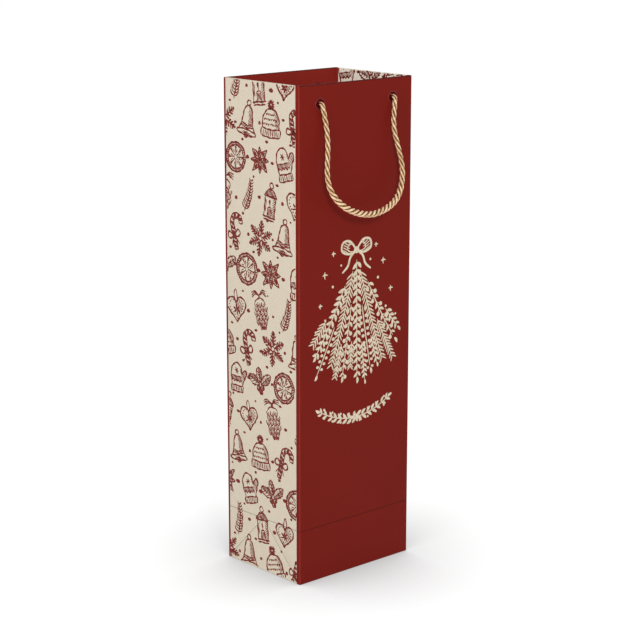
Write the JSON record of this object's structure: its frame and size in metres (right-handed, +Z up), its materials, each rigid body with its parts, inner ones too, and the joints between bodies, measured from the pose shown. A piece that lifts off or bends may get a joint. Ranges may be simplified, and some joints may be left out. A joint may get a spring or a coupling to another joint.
{
  "type": "paper bottle bag",
  "caption": "Tall creased paper gift bag for a wine bottle, with a turned-in rim, folded block bottom, card base and swinging twisted rope handles.",
  "frame": {"origin": "middle of the base, on the surface the bag stands on", "axes": "+Z up to the rim, front panel faces -Y, +X to the right of someone looking at the front panel"},
  "size_m": [0.12, 0.1318, 0.4],
  "materials": {
    "red_paper": "matt laminated print, dark red",
    "cream_paper": "matt laminated print, cream with dark red line motifs",
    "white_paper": "uncoated unprinted inside of the sheet",
    "grey_card": "grey board",
    "eyelet_enamel": "dark red enamel",
    "jute_rope": "three-strand twisted natural fibre"
  },
  "bodies": {
    "root": {"front_panel": "red_paper", "back_panel": "red_paper", "left_gusset": "cream_paper", "right_gusset": "cream_paper", "side_seam_flap": "white_paper", "front_hem": "red_paper", "back_hem": "red_paper", "left_hem": "cream_paper", "right_hem": "cream_paper", "front_card": "grey_card", "back_card": "grey_card", "bottom_front_flap": "red_paper", "bottom_back_flap": "red_paper", "bottom_left_tuck": "cream_paper", "bottom_right_tuck": "cream_paper", "bottom_board": "grey_card", "front_left_eyelet": "eyelet_enamel", "front_right_eyelet": "eyelet_enamel", "back_left_eyelet": "eyelet_enamel", "back_right_eyelet": "eyelet_enamel", "front_left_knot": "jute_rope", "front_right_knot": "jute_rope", "back_left_knot": "jute_rope", "back_right_knot": "jute_rope"},
    "front_handle": {"front_handle_rope": "jute_rope"},
    "back_handle": {"back_handle_rope": "jute_rope"}
  },
  "joints": [
    {"name": "front_handle_swing", "type": "hinge", "parent": "root", "child": "front_handle", "pos_m": [0, -0.0485, 0.3845], "axis": [-1, 0, 0], "range_deg": [0, 178]},
    {"name": "back_handle_swing", "type": "hinge", "parent": "root", "child": "back_handle", "pos_m": [0, 0.0485, 0.3845], "axis": [1, 0, 0], "range_deg": [0, 178]}
  ]
}
